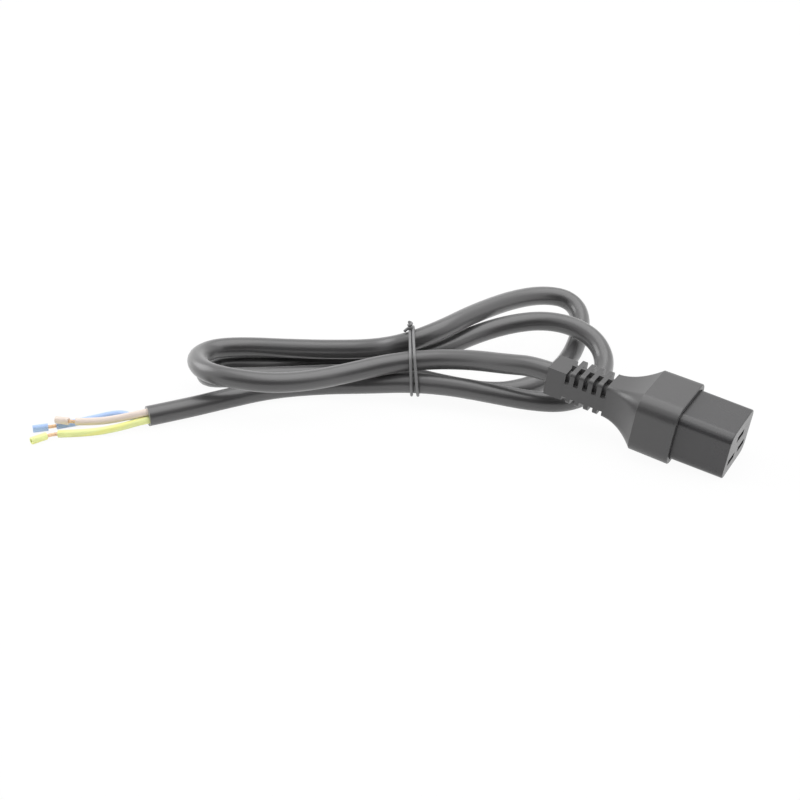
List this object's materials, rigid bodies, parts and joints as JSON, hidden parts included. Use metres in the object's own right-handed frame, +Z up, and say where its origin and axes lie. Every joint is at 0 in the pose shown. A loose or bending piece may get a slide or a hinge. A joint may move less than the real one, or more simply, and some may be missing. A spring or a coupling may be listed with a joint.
{
  "type": "c19 power connector",
  "caption": "Moulded female power connector with three blade slots, a flared body and a ribbed bend relief, on a coiled cord tied with a twist tie and stripped at its end.",
  "frame": {"origin": "bottom centre of the connector head's bounding box, on the surface that it lies on; the cord is left out of this box", "axes": "+X out of the mating face, seen in plan; +Z up; the head lies nose down by 8.5 degrees"},
  "size_m": [0.2717, 0.213, 0.031],
  "materials": {
    "black_moulding": "satin",
    "black_pvc": "satin",
    "cord_pvc": "satin",
    "brass": "satin",
    "copper_strand": "satin",
    "core_brown": "satin",
    "core_blue": "satin",
    "core_green_yellow": "satin",
    "tie_plastic": "satin"
  },
  "bodies": {
    "root": {"contact_carrier": "black_moulding", "connector_body": "black_pvc", "cord_jacket": "cord_pvc", "contact_line": "brass", "contact_neutral": "brass", "contact_earth": "brass", "inner_wire_line": "copper_strand", "inner_wire_neutral": "copper_strand", "inner_wire_earth": "copper_strand", "inner_core_line": "core_brown", "inner_core_neutral": "core_blue", "inner_core_earth": "core_green_yellow", "core_line": "core_brown", "core_neutral": "core_blue", "core_earth": "core_green_yellow", "wire_line": "copper_strand", "wire_neutral": "copper_strand", "wire_earth": "copper_strand", "slug_line": "core_brown", "slug_neutral": "core_blue", "slug_earth": "core_green_yellow", "twist_tie": "tie_plastic"}
  },
  "joints": []
}
